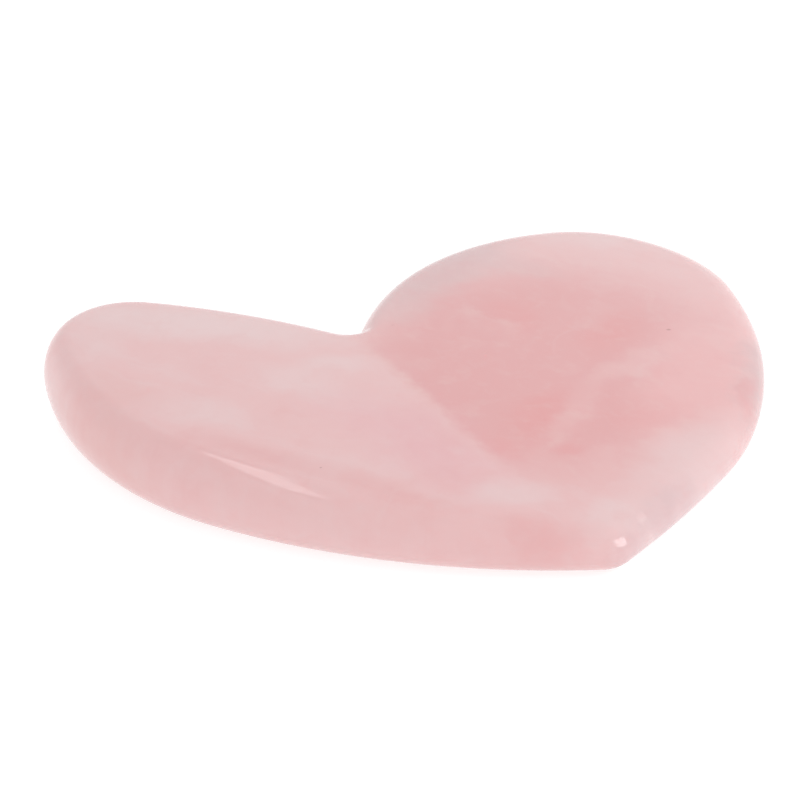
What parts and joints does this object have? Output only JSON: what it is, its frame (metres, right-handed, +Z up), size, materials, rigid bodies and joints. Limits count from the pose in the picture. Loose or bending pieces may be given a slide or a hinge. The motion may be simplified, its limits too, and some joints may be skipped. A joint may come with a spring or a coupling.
{
  "type": "gua sha scraper",
  "caption": "Hand-held heart-shaped stone board with a rounded rim and a notch between two lobes, stroked over the skin in facial massage.",
  "frame": {"origin": "under the middle of the bounding box, on the flat underside that the board rests on", "axes": "+X along the longest extent, from the thick small lobe to the thin large lobe; +Y from the tip side towards the lobes and the notch; +Z up, out of the upper face"},
  "size_m": [0.0762, 0.0694, 0.0095],
  "materials": {
    "rose_quartz": "high polish, slightly translucent, with paler clouds and deeper pink veils"
  },
  "bodies": {
    "root": {"stone_board": "rose_quartz"}
  },
  "joints": []
}
